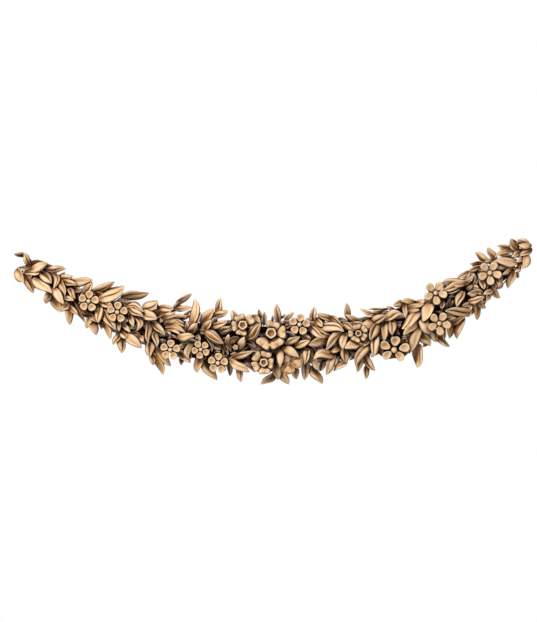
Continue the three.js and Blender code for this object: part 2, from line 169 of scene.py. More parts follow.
RIBBED_LEAVES = (
    (-66.5, 7.5, -49, -3.5, 9), (-26.5, 3, -12, 16.5, 10.5, -1),
)
MIDDLE_LEAVES = (
    # the left end
    (-245.5, 76.5, -249, 87.5, 6), (-225.5, 71, -207.5, 71.2, 6.5), (-248, 68, -233.5, 66.5, 5.5),
    (-248.2, 65, -240.2, 46.6, 8.4), (-231.5, 67.5, -221.5, 56.5, 9), (-221, 67.5, -219.5, 51.5, 6, 4),
    (-213.5, 60, -208, 44.5, 6), (-224.3, 46.5, -228.2, 36.2, 7.2), (-219.5, 44, -212, 27.5, 9.5, -1),
    (-205.5, 36.5, -211.5, 28.5, 7), (-204.6, 32, -203.6, 14.8, 7.2), (-204, 33, -195, 25, 5.5),
    (-204, 51, -197.5, 41.5, 5.5), (-210, 59, -196.5, 55, 6), (-213, 60.5, -200.5, 64, 7),
    (-190.5, 45.5, -180.5, 58.5, 8), (-179.5, 48.5, -158.5, 58.6, 7, -0.6), (-173, 40, -160.5, 34, 9.5),
    (-182.5, 25, -176, 18, 5.5), (-182.8, 23.5, -187, 11.2, 6.4), (-181.3, 21, -177.3, 4.6, 8.2),
    (-170, 17, -162.5, 0.5, 6.5, 2),
    # the left arm
    (-143, 25.5, -139.5, 13, 5.5), (-138, 24.5, -137, 8.5, 6, 5), (-149.5, 43.4, -124, 47.2, 8.5, -0.6),
    (-151.5, 8, -146, 0.5, 6), (-154.5, 6, -160.5, -5, 6), (-151.8, 2, -151.8, -13.4, 8),
    (-114.5, 31, -99, 31.5, 7), (-95.3, 37.2, -81.2, 46.6, 5.4), (-97.5, 31, -80.5, 32.2, 5),
    (-110, 23.5, -97.5, 28.5, 6, -1.5), (-109, 19, -86, 22.4, 5, 2.4), (-105.5, 14, -87.4, 7.5, 5.4, 3),
    (-83.5, 8, -75.5, 17, 7), (-71, 18, -59, 31.5, 9), (-69, 10.5, -62, 20.5, 7), (-120, 18, -108, 4.5, 7),
    (-124.5, 18, -124.5, -3.5, 6), (-118, 8, -116, -7, 6), (-123.4, -3, -123.6, -17.2, 8.8),
    (-120.5, -14, -120.2, -25.5, 6.6), (-119.2, -15, -110, -35.4, 7.6, 1.4), (-116, -9, -102, -26.5, 8),
    (-93, -12.5, -82.4, -23, 7.2), (-74, -17, -76.5, -33, 8), (-69, -20.5, -55.8, -40.3, 8.6, -1.6),
    # the middle
    (-34.4, -28, -32, -42.5, 6), (-41, -19, -19.5, -11, 6.5), (-60.5, 13.5, -45.5, 18, 6.5),
    (-52, 7.5, -41.5, 13.5, 7), (-55.5, 26, -52.2, 42.2, 6.6, 0.5), (-58, 24, -45, 28.6, 6.6),
    (-37.5, 19, -40.6, 30, 6.4), (-20.5, 24, -12.5, 16.5, 5, 1.5), (27, 5.5, 38.5, 1, 6),
    (4, -25.5, 5, -40, 9), (2, -35, -12.2, -44.5, 7), (9, -32, 16, -44.6, 7.4, -0.8),
    (21.5, -28, 23.5, -39.5, 7), (33.6, -23, 31.2, -40.5, 7.4), (5, 19, 3.7, 36, 6.5),
    (39.8, 20, 41.2, 33.2, 6), (59, 19.5, 44.5, 27, 6), (57, 22.5, 70.5, 13.5, 6), (43, 21, 49.5, 13, 6),
    (75.5, 22, 73.5, 37, 6), (85.5, 18.4, 72, 25.4, 5), (66.5, -7, 58, -12, 6), (38, -17, 46.5, -31, 6.4),
    (38.8, -28.5, 49.8, -44.2, 8), (73.4, -19.8, 60.4, -31.4, 5.8), (71.5, -9.5, 73, -23.5, 7.5),
    # the right arm
    (88.2, -17, 84.8, -32.5, 6.4), (91.5, -16.5, 102.6, -31, 7, -0.8), (94.5, -26, 93, -39.5, 5.5),
    (82, -5.5, 90, -3, 5), (131, 35, 120, 34.5, 6.5, -1.5), (143, 36, 128, 38.8, 6.5, -1),
    (112.5, 17.5, 110.8, -0.8, 7), (142.5, 36, 153, 40, 5), (134.5, 31.5, 151, 36, 5.5),
    (148.5, 5.5, 158, -6, 9), (160, 10, 164, -2.5, 8), (171, 12, 171, -0.5, 5), (164, 3, 177.5, -7, 6),
    (169.5, 39, 168.5, 31, 5.5),
    # the right end
    (186.5, 52.5, 174.5, 46.5, 5), (199, 38, 188, 32.5, 5), (178, 16.5, 194, 24, 6),
    (205, 38, 213.6, 32, 6.4), (205.5, 36, 204.5, 19.5, 6.5), (190, 20.5, 184.2, 0.8, 7.5, -1.5),
    (178, 18, 177, 2, 6), (217.5, 46.5, 214, 39, 5), (218.5, 51, 227.8, 41.8, 6.4), (199, 55.5, 206, 51, 5),
    (197, 68.2, 184, 61.2, 5), (208, 72.4, 195.5, 69.3, 5.5), (209.5, 61, 211, 50.5, 6.5),
    (221, 57, 222, 49.5, 5), (229, 64.5, 227, 52, 4.4), (240.8, 69, 235.3, 51.5, 7.2),
    (223, 81.5, 215.2, 93, 6.4), (215.3, 78.4, 203, 88.3, 6.4), (244.5, 91, 238.5, 101.6, 8.5),
    (256, 96.3, 244.5, 100.3, 5, -1), (258.5, 90.5, 247, 84, 6),
)
UNDER_LEAVES = (
    # behind the flowers and blossoms
    (-64, -16, -52, -28, 8), (-46, -17, -59, -27, 8), (-18, -15, -4, -28, 9), (-1, -17, -16, -28, 9),
    (-41, 17, -21, 21, 9), (112, -1, 128, -15, 8), (130, -1, 114, -14, 8), (160, 24, 171, 11, 8),
    (172, 22, 160, 11, 8), (157, 42, 168, 52, 8), (168, 41, 157, 52, 8), (210, 61, 223, 72, 8),
    (222, 60, 211, 73, 8), (20, 11, 33, 20, 8), (32, 9, 22, 22, 8), (108, -12, 122, -18, 7),
    (134, -11, 121, -18, 7), (24, -17, 13, -29, 9), (131, 5, 137, -4, 6),
    # under the other leaves
    (-249.5, 84.8, -259.5, 86.2, 4.5), (-245, 76, -219.5, 73.5, 5, 2), (-201, 38.5, -188.6, 17.5, 5.6),
    (-194.5, 37, -181, 26, 5.5, -3), (-99.5, 29.5, -94, 39, 5), (-43.2, -21, -43.2, -36.5, 5.6),
    (-52, -22, -47.5, -31, 4.5), (52, -20, 46.5, -31.5, 6), (95.5, -9.5, 95.5, -19, 5),
)
# the smallest leaves and curls, as above
SMALL_MIDDLE_LEAVES = (
    # the left end and arm
    (-209, 43, -199, 39.5, 4.5), (-151, 17, -142.5, 7.5, 4.5), (-154, 18.5, -153.5, 8.5, 3.5),
    (-145, 22.5, -148.5, 17.5, 3.5), (-133, 4, -129, -2, 4), (-108, 17.5, -89, 17, 3.4, 2.2),
    (-107.5, 16.3, -88, 13.4, 4, 3), (-105.5, 11, -92, 4.2, 4, 2.4), (-105.5, 10, -102, 5, 2),
    (-86.3, 9.5, -86.8, 19.5, 3.8, -1), (-78, 17, -71, 28, 4), (-57.5, 27, -45.5, 29.5, 4),
    (-46.5, -4, -44, 6, 4.5),
    # the middle
    (7, 15, 10.5, 20, 3), (12.5, 20.5, 21, 28, 4.5), (42, 22, 58, 5, 3.5, -5),
    (52.5, -18.5, 59, -15.5, 3.5), (65.5, -17, 59, -28, 3.5), (77, 16, 90, 17.6, 4),
    (98, 1.5, 89.5, -6, 4.5),
    # the right arm
    (122, 29, 113, 34, 4), (105, 26.5, 86.5, 32, 4.5, 2.6), (132, 36, 132, 22, 4.5),
    (114, 31, 94.5, 30.5, 3), (104, 25.5, 93, 23.8, 3), (110, 29, 97, 27.5, 3.5), (135, 28, 146.5, 30.5, 4),
    (158, 35.5, 157.5, 41.5, 4), (158.5, 35, 160, 29.5, 4),
    # the right end
    (173.5, 21.5, 183.5, 22, 3.5), (198.5, 38, 213, 39, 3.5), (198.5, 36.5, 197, 29, 3.5),
    (195, 50, 199.5, 54.5, 3.5), (189, 59.5, 197, 69.5, 3, -3), (197.5, 30, 196, 22.5, 4.5),
    (190, 57.5, 199.5, 67.5, 4, -3.4), (210, 77, 197, 76.5, 4), (223.5, 61, 225.5, 52, 3.5, 1),
    (234, 73.5, 224, 71.5, 4.5), (221, 80.5, 212, 78, 4), (248, 72, 242, 68, 3.5), (240, 71, 229, 65.5, 4),
    (238.5, 88.5, 222.5, 82.5, 4.5, -2.5), (247.5, 87.5, 238.5, 83.5, 4.5), (239, 92.8, 224.5, 94.6, 4.6),
    (253, 83, 243, 78, 4), (200, 51, 208.5, 45.5, 4),
)
SMALL_UNDER_LEAVES = (
    # the left end
    (-238, 53, -227, 57.5, 3.5), (-160, 36, -149, 40.5, 4.5), (-257, 70.5, -248, 68, 2.5),
    (-239, 74.5, -252, 70.6, 4), (-214, 62, -208.5, 68.5, 4), (-200, 52, -191.5, 49, 6),
    (-178, 47, -168, 44, 4), (-169, 47.5, -155, 54, 4), (-171.5, 20, -172, 10.5, 5),
    (-157, 18, -158, 12, 2.5), (-142.5, 16, -141.5, 10.5, 4),
    # the left arm
    (-124, 25, -112, 29.5, 4.5), (-117, 23.5, -107.5, 28, 4.5), (-63.5, 15, -56, 23, 5),
    (-51, 15.5, -43, 20, 4.5), (-65, 22, -55, 28, 4), (-94.5, 20.5, -82.5, 24.8, 4.6),
    (-145, 36, -132, 33.5, 3.5, 2.5), (-152, 40.5, -145.5, 31.5, 1.5), (-149, 40, -144, 37.5, 2),
    (-147, 40, -142, 38, 2), (-139, 7, -131, 2, 4), (-139, 5, -133, -3, 2.5), (-95, 34, -91.5, 35, 2.5),
    (-110, 23.5, -112.5, 17.5, 4), (-115.5, 35, -115, 27, 2), (-84, 14.5, -77.5, 19, 3),
    (-89, 24.5, -82, 29.5, 3.5), (-92.5, -0.5, -83.5, -3, 4), (-76, 6.5, -73, -2, 4),
    (-105.5, 0.5, -95, 0.5, 3, 3.5), (-129, 16, -124.5, 18, 3), (-126, -3, -125.8, -11, 3),
    (-90.5, -14, -92, -25.5, 5.5), (-84, -12, -82, -19, 4), (-66.5, -15, -74, -18.5, 2.5, 2),
    (-59, -30, -58.5, -34, 3), (-74, 10, -67, 10, 2), (-74, 7, -66, 7, 2), (-66, 3, -61.5, -12, 3.5, 2.5),
    # the middle
    (-54, -2.5, -49.6, -15, 2.6, 2.2), (-59, -5, -51.5, -9.5, 5), (-58.5, -9, -52.5, -12, 3.5),
    (-43, 4.5, -42.5, -8, 2.2, -3.5), (-47.5, -2, -42, -12, 3, 1), (-49, -6, -44.5, -15, 3, 0.6),
    (-34.5, -12.5, -28.5, -7, 4), (-26, -2.5, -16.5, -8, 4.5, 1.5), (-28, -21, -23, -29, 3),
    (-26, -20, -21.5, -30, 3), (-42.5, -16, -34, -13, 4.5), (-33, -13, -28.5, -6, 3.5),
    (-18, 20, -15, 17, 2.5), (-26, 8.5, -18, 15, 5), (-25, 13.5, -14, 18, 4.5), (-19, 14, -10.5, 19.5, 3.5),
    (-12.6, 22, -14.4, 31, 4), (-9, 16, -8.6, 28.5, 4.8), (-2.5, -15, 11.5, 0, 4), (-24, -5, -10, -9, 4),
    (-22, -9, -12, -12.5, 3), (29.5, -9.5, 29, -22, 3), (38.5, -9, 39.5, -18, 3), (8.5, -34, 8, -40, 2.5),
    (-1, -26, -3.5, -33, 4), (12, -20, 8, -27, 4), (7, 16, 19, 19.5, 4.5), (9.5, 13, 20, 15, 4.5),
    (51, 17, 44.5, 26, 4), (-0.5, 19, -0.5, 25, 2.5), (8.5, 22, 13, 26, 2.5), (13.5, 7.5, 24, 4, 3),
    (13.5, 12, 14, 16, 3), (33, 20, 39, 21.5, 3), (36.5, 16.5, 41.5, 16.5, 4.5), (45.5, 18, 55, 7, 3, -4),
    (66, 21, 74.5, 19.5, 4), (66, -18, 65, -25, 3.5), (83, -14, 76.5, -20.5, 4.5), (80, -11, 80, -16, 3),
    (84.5, -7, 82, -10, 2.5),
    # the right arm
    (121, -9, 121, -17.5, 6), (136, -7, 137, -14, 4), (108, -8, 98, -17.5, 5), (103, -3, 110.5, -14.5, 6),
    (127, 3, 139, -11, 6), (124, 3, 131, -4, 5), (118, 21, 128.5, 24.5, 3), (105, 26, 114, 29.5, 3),
    (116, 18, 116.5, 7, 3), (124, 15.5, 129, 19, 2.5), (124.5, 13, 128, 16.5, 2.5),
    (123, 7.5, 127, 5.5, 2.5), (128, 3, 134, 4, 1.5), (128, 1, 134, 2, 1.5), (130, -13, 137, -11.5, 4),
    (157, 0, 150, -7, 5), (152, 8.5, 158, 2, 4), (163, 8.5, 170, 2.5, 4), (158.2, 37.5, 159.5, 29.5, 4),
    # behind the left arm
    (-155, 38, -144, 36, 4), (-121, -9, -116, -16, 4),
    # the right end
    (177, 50, 169, 55, 5), (203, 69.5, 213, 66.8, 4), (227, 75, 216, 78, 4), (198.5, 61, 200, 69, 3.5),
    (213.5, 46, 211.5, 34.5, 4.5), (230, 55.5, 223.5, 51, 4.5), (181, 12, 176.5, 1.5, 5),
    (174, 26, 187, 23.5, 4), (250, 95.5, 242.5, 97.5, 3.5), (184, 46, 176, 43, 3), (176, 20, 190, 25, 2.5),
    (174, 33, 177.5, 42, 3), (177.5, 33, 180, 40, 3), (202.5, 34.5, 199.5, 29.5, 2.5),
    (199.5, 36, 201, 30, 3), (192.5, 31.5, 196.5, 31, 4), (188, 52, 196, 56, 2.5, 1.5),
    (205, 73, 199.5, 75, 2.5), (203, 67, 200, 55, 3, 1.5), (205, 62, 203, 56, 2.5),
    (214.5, 59, 214.5, 51.5, 2.5), (237.5, 84.5, 226.5, 84, 3), (252, 90, 226, 92.5, 3, 1.5),
    (250, 80, 245, 77, 2.5), (247, 75, 240, 72, 2.5, 1.5), (250, 82, 244.5, 70, 5),
    (247.5, 72, 247, 67.5, 2.5), (244, 69, 246, 61.5, 4),
)

# flowers, in squares: centre x and z, distance of the petals from it, petal length and width, angle of the
# first petal in degrees, and button width
DISHED_FLOWERS = (
    (-184, 38.7, 6.5, 7.8, 7.4, 11, 4.4), (-155.3, 27.7, 6.6, 7.8, 7.3, 13, 4.4),
    (-102.5, -9.8, 6.3, 7.7, 7.2, 12, 4.3), (-72, -9.5, 5.7, 6.8, 6.5, 45, 3.9),
    (-55, -23, 6.4, 7.7, 7.2, 12, 4.4), (26.5, 15.5, 6.7, 7.9, 7.6, 11, 4.5),
)
SMOOTH_FLOWERS = (
    (162.3, 47, 7, 10, 7.5, 62, 4.6), (166, 16.5, 7, 10, 7.5, 61, 4.6),
    (216.5, 67, 7.1, 10.2, 7.7, 60, 4.8),
)
# the largest flower: centre x and z, button width, and each petal's centre x and z, length and width
LARGE_FLOWER = (121, -10, 6, (
    (122.3, -1.2, 10.4, 9.4), (112.4, -5.6, 11, 8.6), (114.2, -14.9, 10.4, 7.6), (126.4, -15.8, 11, 7.8),
    (131.3, -7.8, 11, 8.6),
))
# cupped blossoms: centre x and z, cup width, and each petal's centre x and z, length and width
BLOSSOMS = (
    (-2, 7, 11, (
        (-0.2, 14.4, 10, 14.6), (8.6, 7.8, 9.8, 12.8), (3.3, -2.6, 10.8, 15.4), (-9.2, -3, 10.8, 15.4),
    )),
    (-30.2, 15, 9.4, (
        (-33, 21.8, 8.2, 11), (-23.2, 20, 9.4, 10), (-38, 14, 7, 10), (-31.4, 7.8, 6.8, 10.8),
    )),
    (-9.3, -22.3, 8.6, (
        (-15.9, -17, 8.4, 11), (-7.2, -14.8, 7.4, 11.4), (-2.8, -23.3, 7.2, 10.6), (-8.6, -30.3, 8, 12),
        (-16.8, -25.7, 8.8, 10.6),
    )),
    (85, 6.7, 6.4, (
        (90.6, 10.8, 6.4, 7.6), (83.6, 13, 6, 8.6), (77.6, 6.4, 6, 6.4), (82.6, 1, 5.8, 9.4),
        (90.3, 3.2, 6.8, 7.4),
    )),
)
# the open blossom at the foot of the swag: centre x and z, and width, depth share and seeds of its head
ANEMONE_X = 15
ANEMONE_Z = -20.5
ANEMONE_HEAD = 11.5
ANEMONE_HEAD_SHARE = 0.67
ANEMONE_SEEDS = 34
ANEMONE_RIBS = 15
# its dished petals: centre x and z, length, width, angle in degrees, and share of the depth
ANEMONE_PETALS = ((23.3, -21.8, 13.2, 12.2, -8, 0.88), (15.3, -28.1, 12.4, 12.8, -94, 0.85))
# smooth closed petals and buds, as the leaves
CLOSED_PETALS = (
    (10.5, -8.5, 26, -17, 8, 1), (7.5, -10.5, 7, -27, 6.6), (-33.5, -8, -28.5, 3.5, 7),
    (-2.8, -0.5, -3.2, -7, 2.2), (101.5, 15.6, 87, 14, 9.6),
)
# the dark hollow cup among the leaves: centre x and z, width, share of the depth, and strength of its dish
DARK_CUP = (-38.3, -2.6, 12, 0.88, 1.5)
CUP_TURN = math.radians(115)
# the seeded bud on its lip: centre x and z, width, share of the depth, and number of seeds
BUD = (-37.4, -7.2, 5.6, 0.78, 19)

# petals: rings from the underside of the rim to the middle, each a share of the petal's size and a fall
# below the rim as a share of its width, and the fall of the middle itself
FLOWER_PETALS = 5
PETAL_SIDES = 20
PETAL_RINGS = (
    (0.86, 0.4), (1.0, 0.2), (1.0, 0.1), (0.93, 0.02), (0.82, 0), (0.64, 0.035), (0.44, 0.1), (0.22, 0.14),
)
PETAL_DISH = 0.15
PETAL_EGG = 0.3
PETAL_TILT = 0.08
PETAL_SETBACK = 0.34  # a flower's petals lie behind its button's top by this share of the button's width
SMOOTH_RINGS = (
    (0.86, 0.46), (1.0, 0.26), (0.98, 0.13), (0.9, 0.04), (0.76, 0.0), (0.5, 0.03), (0.24, 0.07),
)
SMOOTH_DISH = 0.08
SMOOTH_EGG = 0.28
SMOOTH_TILT = 0.24
BROAD_RINGS = (
    (0.86, 0.45), (1.0, 0.24), (1.0, 0.14), (0.93, 0.05), (0.8, 0), (0.6, 0.01), (0.38, 0.04), (0.18, 0.05),
)
BROAD_DISH = 0.06
BROAD_EGG = 0.2
BROAD_SQUARE = 0.82
BROAD_NOTCH = 0.1
BROAD_SLOPE = 0.22
BROAD_FOLD = 0.3
# each kind of petal: its rings, the fall of its middle, and the form of its outline
PETAL_KINDS = {
    "dished": (PETAL_RINGS, PETAL_DISH, {"egg": PETAL_EGG, "tilt": PETAL_TILT}),
    "smooth": (SMOOTH_RINGS, SMOOTH_DISH, {"egg": SMOOTH_EGG, "tilt": SMOOTH_TILT}),
    "broad": (BROAD_RINGS, BROAD_DISH, {
        "egg": BROAD_EGG, "square": BROAD_SQUARE, "notch": BROAD_NOTCH, "slope": BROAD_SLOPE,
        "fold": BROAD_FOLD,
    }),
}
# the higher these powers, the narrower a petal's notch and fold and the more suddenly it slopes away
NOTCH_POWER = 12
FOLD_POWER = 24
SLOPE_POWER = 1.5
SLOPE_START = 0.3  # a petal slopes away from this share of its half length inwards

# buttons: rings as a share of the width and a fall below the top as a share of the rise
BUTTON_SIDES = 14
BUTTON_RISE = 0.42  # height of a button's dome, as a share of its width
BUTTON_RINGS = ((1, 1), (1, 0.72), (0.88, 0.4), (0.65, 0.16), (0.35, 0.04))

# cups, softly five-sided: rings from outside over the rim to the floor, each a share of the width and a fall
# below the rim as a share of the hollow's depth
CUP_SIDES = 30
CUP_CORNERS = 5
CUP_CORNER_SHARE = 0.65  # how far its outline goes from a circle towards straight sides
CUP_HOLLOW_SHARE = 0.32  # a small cup is hollowed to this share of its width
CUP_PETAL_SETBACK = 0.62  # its petals lie behind the rim by this share of the hollow's depth
CUP_FLOOR = 0.7  # fall of the middle of its floor
CUP_RINGS = (
    (0.8, 1.2), (0.98, 0.55), (1.03, 0.22), (1.0, 0.05), (0.9, 0), (0.74, 0.02), (0.62, 0.14), (0.53, 0.42),
    (0.38, 0.6), (0.18, 0.68),
)

# seeded heads: rings of the dome and of a seed, each a share of its size and a fall below its top
HEAD_RISE = 0.5  # height of the dome, as a share of its width
HEAD_RINGS = ((1, 1), (1, 0.5), (0.85, 0.25), (0.6, 0.1), (0.3, 0.02))
SEED_SIDES = 6
SEED_RINGS = ((0.8, 1.6), (1, 0.9), (0.8, 0.35))
SEED_ROOT = 2.2  # how far below its top a seed starts, as a share of its radius
SEED_RISE = 0.55  # how far a seed stands out of the dome, as a share of its radius
SEEDS_REACH = 0.9  # the seeds end this share of the radius from the middle
SEEDS_FALL = 0.25  # the outermost lie lower than the middle by this share of the dome's height
SEEDS_FALL_POWER = 3

# shell petals, wide and ribbed: rings as a share of the size and a fall below the rim, of the width
SHELL_SIDES = 48
SHELL_RINGS = (
    (0.8, 0.42), (0.97, 0.24), (1.0, 0.08), (0.96, 0), (0.9, 0.05), (0.78, 0.14), (0.56, 0.23), (0.28, 0.27),
)
SHELL_DISH = 0.28  # fall of its middle
SHELL_RIM = 0.95  # rings of at least this size belong to the rim
SHELL_RIPPLE = 0.02  # height of its ribs, as a share of its width
SHELL_RIBBED = (0.4, 0.93)  # the ribs lie between these sizes
SHELL_FAN = 0.6  # they spread from a point this share of its length behind its middle
SHELL_SLOPE = 0.15  # how steeply it falls towards its inner end

# small leaves that fill the low places between the others
FILL_COUNT = 170
FILL_REACH = 0.92
FILL_HEIGHT_SHARE = 0.72
FILL_LOWEST = (0.84, 0.3)
FILL_HIGHEST = 0.5
FILL_LAYER = (0.34, 0.5)
FILL_LENGTH = (11, 17)
FILL_WIDTH = (4.6, 6.6)
FILL_OUTWARD = (0.8, 1.2)  # how strongly they point to the swag's ends, and up or down
FILL_TURN = 2.2  # radians between the two outermost directions they turn to
FILL_WIDTH_RATE = 7
FILL_LAYER_RATE = 3
# evenly spread fractions come from multiples of these
GOLDEN = 0.6180339887
PLASTIC = 0.7548776662
TRIBONACCI = 0.5436890127

SHARP_ANGLE = math.radians(38)  # edges sharper than this are shaded as edges


def lerp(a, b, t):
    return a + (b - a) * t


def fraction(value):
    return value - math.floor(value)


def hanging_line(x):
    return LOWEST_Z + END_RISE * abs(x / HALF_SPAN) ** HANG_POWER + RIGHT_END_HIGHER * (x / HALF_SPAN)


def half_height(x):
    return lerp(MIDDLE_HALF_HEIGHT, END_HALF_HEIGHT, (x / HALF_SPAN) ** 2)


def garland_depth(x, z):
    whole = lerp(MIDDLE_DEPTH, END_DEPTH, (x / HALF_SPAN) ** 2)
    out = (z - hanging_line(x)) / half_height(x)
    return whole * (EDGE_SHARE + (1 - EDGE_SHARE) / (1 + out ** EDGE_POWER))


def point(x, z, depth):
    return (x * SQUARE, -depth, z * SQUARE)


def root_of(x, z):
    """The nearest place well inside the ground."""
    reach = HALF_SPAN * GROUND_REACH - ROOT_INSET
    root_x = min(max(x, -reach), reach)
    out = half_height(root_x) * GROUND_HEIGHT_SHARE - ROOT_INSET
    line = hanging_line(root_x)
    return root_x, min(max(z, line - out), line + out)


shells = []


def skin(first, rings, last):
    """Adds a closed shell from a first point, rings of equally many points, and a last point."""
    count = len(rings[0])
    points = [first]
    for ring in rings:
        points.extend(ring)
    points.append(last)
    end = len(points) - 1
    top = len(rings) - 1
    faces = []
    for a in range(count):
        b = (a + 1) % count
        faces.append((0, 1 + a, 1 + b))
        for r in range(top):
            near = 1 + r * count
            far = near + count
            faces.append((near + a, far + a, far + b, near + b))
        faces.append((1 + top * count + a, end, 1 + top * count + b))
    shells.append((points, faces))


def stalk(start, bend, end, half_width):
    """A thin tapered stem that curves from the ground to the underside of a leaf."""
    start = np.array(start)
    bend = np.array(bend)
    end = np.array(end)
    rings = []
    for t, size in STALK_RINGS:
        middle = (1 - t) ** 2 * start + 2 * t * (1 - t) * bend + t * t * end
        axis = (1 - t) * (bend - start) + t * (end - bend)
        aside = np.array((axis[2], 0.0, -axis[0]))
        aside *= half_width * size / np.linalg.norm(aside)
        ahead = np.cross(aside, axis)
        ahead *= half_width * size / np.linalg.norm(ahead)
        ring = []
        for corner in range(STALK_SIDES):
            turn = math.tau * corner / STALK_SIDES
            place = middle + aside * math.cos(turn) + ahead * math.sin(turn)
            ring.append((place[0], min(place[1], -BACK_CLEARANCE), place[2]))
        rings.append(ring)
    skin(tuple(start), rings, tuple(end))


def mirrored(section):
    """The whole section from the right edge to the left one."""
    right = [(-s, fall) for s, fall in section]
    left = [(s, fall) for s, fall in reversed(section[:-1])]
    return right + left


def leaf(row, share, section, stations, phase):
    """One leaf: a pointed blade of two rounded lobes over a keel, rooted in the ground."""
    base_x, base_z, tip_x, tip_z, width = row[:5]
    bend = row[5] if len(row) > 5 else 0
    length = math.hypot(tip_x - base_x, tip_z - base_z)
    left_x = -(tip_z - base_z) / length
    left_z = (tip_x - base_x) / length
    peak = BASE_FULLNESS / (BASE_FULLNESS + TIP_FULLNESS)
    most = peak ** BASE_FULLNESS * (1 - peak) ** TIP_FULLNESS
    roll = ROLL * math.sin(phase)
    crease = 1 if section is RIBS else lerp(CREASE_LEAST, 1, 0.5 + 0.5 * math.sin(CREASE_RATE * phase))
    hollow = HALF_HOLLOW if section in (LOBES, SMALL_LOBES) else 0
    hollow_side = math.copysign(1, math.sin(HOLLOW_RATE * phase))
    hook = TIP_HOOK * length * math.sin(HOOK_RATE * phase)

    def spine(u):
        t = lerp(-BASE_REACH, 1, u)
        aside = 4 * bend * t * (1 - t) - hook * math.sin(math.tau * t)
        x = lerp(base_x, tip_x, t) + aside * left_x
        z = lerp(base_z, tip_z, t) + aside * left_z
        sink = 1 - BASE_SINK * (1 - t) ** 2 - TIP_DROOP * max(t, 0) ** 4
        return x, z, garland_depth(x, z) * share * sink

    rings = []
    for u in stations:
        x, z, depth = spine(u)
        half = BREADTH * width / 2 * u ** BASE_FULLNESS * (1 - u) ** TIP_FULLNESS / most
        drop = half * SQUARE
        swell = math.sin(math.pi * u)
        ring = []
        for s, fall in mirrored(section):
            out = abs(s)
            wave = EDGE_WAVE * out ** EDGE_WAVE_POWER * math.sin(EDGE_WAVES * math.pi * u + phase + s)
            fade = 1 - VEIN_FADE * (1 - out) * (1 - swell)
            fade *= lerp(crease, 1, min(out / CREASE_REACH, 1))
            dip = hollow * math.sin(math.pi * out ** HOLLOW_POWER) * swell if hollow_side * s > 0 else 0
            top = depth - (fall * fade + dip + wave - roll * s) * drop
            vein = VEIN_ASIDE * math.sin(VEIN_RATE * phase + VEIN_CURL * u)
            aside = (s + vein * (1 - s * s)) * half
            ring.append(point(x + aside * left_x, z + aside * left_z, max(top, BACK_CLEARANCE)))
        for s, fall in UNDERSIDE:
            low = max(depth - (fall * KEEL_SHARE - roll * s) * drop, BACK_CLEARANCE)
            ring.append(point(x + s * half * left_x, z + s * half * left_z, low))
        rings.append(ring)
    root_x, root_z = root_of(base_x, base_z)
    on_ground = (root_x, root_z) == (base_x, base_z)
    x, z, depth = spine(0)
    skin(
        point(x, z, ROOT_DEPTH if on_ground else depth),
        rings,
        point(tip_x, tip_z, spine(1)[2]),
    )
    if not on_ground:
        held_x, held_z, held_depth = spine(STALK_REACH)
        low = STALK_SINK * KEEL_SHARE * width / 2 * SQUARE
        behind_x = base_x - left_z * STALK_BACK
        behind_z = base_z + left_x * STALK_BACK
        start = point(*root_of(behind_x, behind_z), ROOT_DEPTH)
        bend = point(lerp(base_x, behind_x, STALK_BEND), lerp(base_z, behind_z, STALK_BEND), depth - low)
        stalk(start, bend, point(held_x, held_z, held_depth - low), STALK_SHARE * width * SQUARE)


def outline(
    x, z, along, across, angle, sides, depth,
    egg=0.0, square=1.0, notch=0.0, slope=0.0, fold=0.0, tilt=0.0,
):
    """A round outline seen from the front. It can be egg-shaped, squared, notched and folded at its far end,
    slope away inwards, and tilt.
    """
    ring = []
    for i in range(sides):
        turn = -math.tau * i / sides
        c = math.cos(turn)
        s = math.sin(turn)
        a = along * math.copysign(abs(c) ** square, c)
        b = across * math.copysign(abs(s) ** square, s) * (1 + egg * c)
        a -= along * notch * max(c, 0) ** NOTCH_POWER
        folded = fold * across * max(c, 0) ** FOLD_POWER
        low = folded + slope * max(SLOPE_START * along - a, 0) ** SLOPE_POWER - tilt * a
        ring.append(point(
            x + a * math.cos(angle) - b * math.sin(angle),
            z + a * math.sin(angle) + b * math.cos(angle),
            depth - low * SQUARE,
        ))
    return ring


def petal(x, z, length, width, angle, depth, root, kind):
    table, dish, form = PETAL_KINDS[kind]
    rings = []
    for share, fall in table:
        along = share * length / 2
        across = share * width / 2
        low = depth - fall * width * SQUARE
        rings.append(outline(x, z, along, across, angle, PETAL_SIDES, low, **form))
    middle = depth - dish * width * SQUARE
    skin(point(*root_of(*root), ROOT_DEPTH), rings, point(x, z, middle))


def petals_about(x, z, petals, depth, kind):
    """Petals about a centre, each given by its own centre, length and width."""
    for petal_x, petal_z, length, width in petals:
        angle = math.atan2(petal_z - z, petal_x - x)
        root = ((x + petal_x) / 2, (z + petal_z) / 2)
        petal(petal_x, petal_z, length, width, angle, depth, root, kind)


def button_at(x, z, width, depth):
    rise = BUTTON_RISE * width * SQUARE
    rings = []
    for share, fall in BUTTON_RINGS:
        radius = share * width / 2
        rings.append(outline(x, z, radius, radius, 0, BUTTON_SIDES, depth - fall * rise))
    skin(point(*root_of(x, z), ROOT_DEPTH), rings, point(x, z, depth))


def flower(x, z, button, petals, kind):
    """Petals about a round button."""
    depth = garland_depth(x, z)
    button_at(x, z, button, depth)
    petals_about(x, z, petals, depth - PETAL_SETBACK * button * SQUARE, kind)


def petals_around(x, z, distance, length, width, first_angle):
    """Five alike petals, evenly spread."""
    spread = []
    for i in range(FLOWER_PETALS):
        angle = math.radians(first_angle + 360 * i / FLOWER_PETALS)
        spread.append((x + distance * math.cos(angle), z + distance * math.sin(angle), length, width))
    return spread


